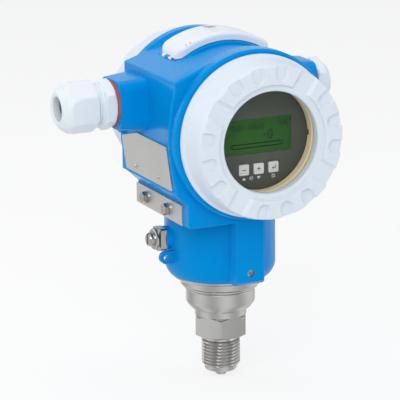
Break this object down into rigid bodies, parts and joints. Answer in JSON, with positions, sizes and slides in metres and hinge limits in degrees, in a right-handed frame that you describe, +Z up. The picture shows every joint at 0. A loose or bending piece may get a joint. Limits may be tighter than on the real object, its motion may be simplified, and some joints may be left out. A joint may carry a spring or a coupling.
{
  "type": "pressure transmitter",
  "caption": "Field pressure transmitter: blue two-compartment housing, white screwed covers with a display window, cable gland, steel sensor neck with hexagon and pipe thread.",
  "frame": {"origin": "centre of the hexagon's underside, the shoulder that comes down on the process fitting", "axes": "+Z up along the sensor's axis, -Y out of the display, +X to the display reader's right"},
  "size_m": [0.1565, 0.1188, 0.1902],
  "materials": {
    "blue_paint": "smooth powder coat, sky blue, half gloss",
    "white_paint": "fine-grained white powder coat",
    "hood_white": "moulded white polyester, half gloss",
    "gland_white": "moulded white polyamide",
    "stainless": "turned stainless steel with fine lathe lines",
    "plate_steel": "brushed stainless sheet",
    "screw_steel": "bright stainless fasteners",
    "black_rubber": "black nitrile rubber",
    "red_seal": "red-orange silicone washer",
    "grey_rubber": "dark grey neoprene",
    "clear_glass": "clear mineral glass pane",
    "yellow_ring": "yellow-passivated aluminium ring",
    "display_grey": "dark grey moulded case, fine texture",
    "lcd_green": "green liquid-crystal pane",
    "key_grey": "light grey rubber-like keys",
    "module_black": "black moulded electronics case",
    "terminal_grey": "grey polyamide terminal block",
    "board_green": "green circuit board",
    "brass_pins": "gold-plated pins"
  },
  "bodies": {
    "sensor": {"process_connection": "stainless", "sensor_body": "stainless", "measuring_cell": "stainless", "cell_pins": "brass_pins", "sensor_board": "board_green", "spigot_seal": "black_rubber"},
    "housing": {"housing": "blue_paint", "sealing_eye": "blue_paint", "nameplate": "plate_steel", "nameplate_pins": "screw_steel", "tag_plate": "plate_steel", "tag_screws": "screw_steel", "set_screw": "screw_steel", "ground_saddle": "screw_steel", "ground_washer": "screw_steel", "ground_screw": "screw_steel", "hood_pin": "screw_steel", "electronics_insert": "module_black", "insert_screws": "screw_steel", "display_holder": "module_black", "filter_plate": "module_black", "terminal_block": "terminal_grey", "terminal_screws": "screw_steel", "inner_ground": "screw_steel", "gland_seal": "red_seal", "gland_body": "gland_white", "plug_seal": "red_seal", "blanking_plug": "gland_white"},
    "display": {"display_module": "display_grey", "display_screen": "lcd_green"},
    "display_key_minus": {"display_key_minus": "key_grey"},
    "display_key_plus": {"display_key_plus": "key_grey"},
    "display_key_enter": {"display_key_enter": "key_grey"},
    "outer_key_minus": {"outer_key_minus": "key_grey"},
    "outer_key_plus": {"outer_key_plus": "key_grey"},
    "outer_key_enter": {"outer_key_enter": "key_grey"},
    "hood": {"hood": "hood_white", "hood_screw": "screw_steel"},
    "front_seal": {"front_seal": "black_rubber"},
    "front_cover": {"front_cover": "white_paint", "window_glass": "clear_glass", "glass_retainer": "yellow_ring"},
    "rear_seal": {"rear_seal": "black_rubber"},
    "rear_cover": {"rear_cover": "white_paint"},
    "gland_insert": {"gland_insert": "grey_rubber"},
    "gland_nut": {"gland_nut": "gland_white"}
  },
  "joints": [
    {"name": "housing_turn", "type": "hinge", "parent": "sensor", "child": "housing", "pos_m": [0, 0, 0.043], "axis": [0, 0, 1], "range_deg": [-190, 190]},
    {"name": "display_turn", "type": "hinge", "parent": "housing", "child": "display", "pos_m": [0, -0.04, 0.119], "axis": [0, -1, 0], "range_deg": [-90, 90]},
    {"name": "hood_hinge", "type": "hinge", "parent": "housing", "child": "hood", "pos_m": [-0.0276, 0.0035, 0.15433], "axis": [0, -1, 0], "range_deg": [0, 95]},
    {"name": "front_cover_slide", "type": "slide", "parent": "housing", "child": "front_seal", "axis": [0, -1, 0], "range_m": [0, 0.01001]},
    {"name": "front_cover_turn", "type": "hinge", "parent": "front_seal", "child": "front_cover", "pos_m": [0, -0.05, 0.119], "axis": [0, -1, 0], "range_deg": [0, 1800]},
    {"name": "rear_cover_slide", "type": "slide", "parent": "housing", "child": "rear_seal", "axis": [0, 1, 0], "range_m": [0, 0.01001]},
    {"name": "rear_cover_turn", "type": "hinge", "parent": "rear_seal", "child": "rear_cover", "pos_m": [0, 0.04, 0.119], "axis": [0, 1, 0], "range_deg": [0, 1800]},
    {"name": "gland_nut_slide", "type": "slide", "parent": "housing", "child": "gland_insert", "axis": [-1, 0, 0], "range_m": [0, 0.00751]},
    {"name": "gland_nut_turn", "type": "hinge", "parent": "gland_insert", "child": "gland_nut", "pos_m": [-0.075, 0.01, 0.1313], "axis": [-1, 0, 0], "range_deg": [0, 1800]},
    {"name": "outer_key_minus_push", "type": "slide", "parent": "housing", "child": "outer_key_minus", "axis": [0, 0, -1], "range_m": [0, 0.0012], "stiffness_N_per_m": 900},
    {"name": "outer_key_plus_push", "type": "slide", "parent": "housing", "child": "outer_key_plus", "axis": [0, 0, -1], "range_m": [0, 0.0012], "stiffness_N_per_m": 900},
    {"name": "outer_key_enter_push", "type": "slide", "parent": "housing", "child": "outer_key_enter", "axis": [0, 0, -1], "range_m": [0, 0.0012], "stiffness_N_per_m": 900},
    {"name": "display_key_minus_push", "type": "slide", "parent": "display", "child": "display_key_minus", "axis": [0, 1, 0], "range_m": [0, 0.0005], "stiffness_N_per_m": 1500},
    {"name": "display_key_plus_push", "type": "slide", "parent": "display", "child": "display_key_plus", "axis": [0, 1, 0], "range_m": [0, 0.0005], "stiffness_N_per_m": 1500},
    {"name": "display_key_enter_push", "type": "slide", "parent": "display", "child": "display_key_enter", "axis": [0, 1, 0], "range_m": [0, 0.0005], "stiffness_N_per_m": 1500}
  ],
  "couplings": [
    {"joint": "front_cover_slide", "follows": "front_cover_turn", "m_per_rad": 0.00031831},
    {"joint": "rear_cover_slide", "follows": "rear_cover_turn", "m_per_rad": 0.00031831},
    {"joint": "gland_nut_slide", "follows": "gland_nut_turn", "m_per_rad": 0.00023873}
  ]
}
